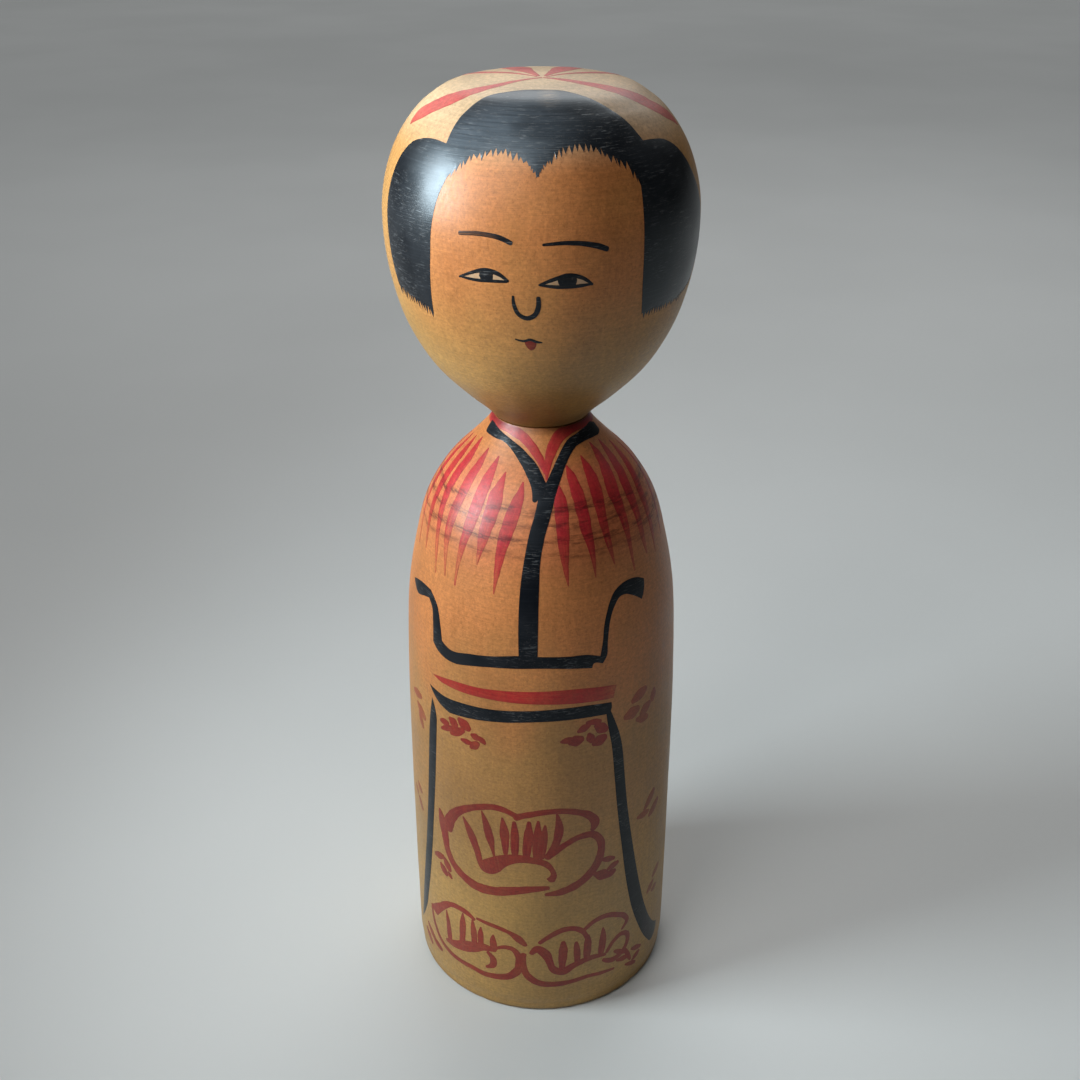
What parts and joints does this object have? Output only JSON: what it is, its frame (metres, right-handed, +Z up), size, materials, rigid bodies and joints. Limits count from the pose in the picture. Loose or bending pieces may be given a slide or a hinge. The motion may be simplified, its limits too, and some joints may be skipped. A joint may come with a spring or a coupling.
{
  "type": "kokeshi doll",
  "caption": "Turned wooden doll with a straight body, rounded shoulders and an oval head that turns on a peg at the narrow neck; flat base, painted face, hair and kimono.",
  "frame": {"origin": "centre of the flat standing face, on the turning axis", "axes": "+Z up along the turning axis, from the base to the crown; the face looks along -Y; +X is the doll's own left, on the right of a viewer who looks at its face"},
  "size_m": [0.0706, 0.0706, 0.24],
  "materials": {
    "body_wood": "waxed, aged to a warm tan",
    "head_wood": "waxed, aged to a warm tan",
    "peg_wood": "bare",
    "black_ink": "sumi ink on wood, waxed",
    "red_dye": "translucent dye on wood, waxed",
    "pale_paint": "thin pale paint on wood, waxed"
  },
  "bodies": {
    "body": {"body": "body_wood"},
    "head": {"head": "head_wood", "neck_peg": "peg_wood"}
  },
  "joints": [
    {"name": "head_turn", "type": "hinge", "parent": "body", "child": "head", "pos_m": [0, 0, 0.1625], "axis": [0, 0, 1], "continuous": true}
  ]
}
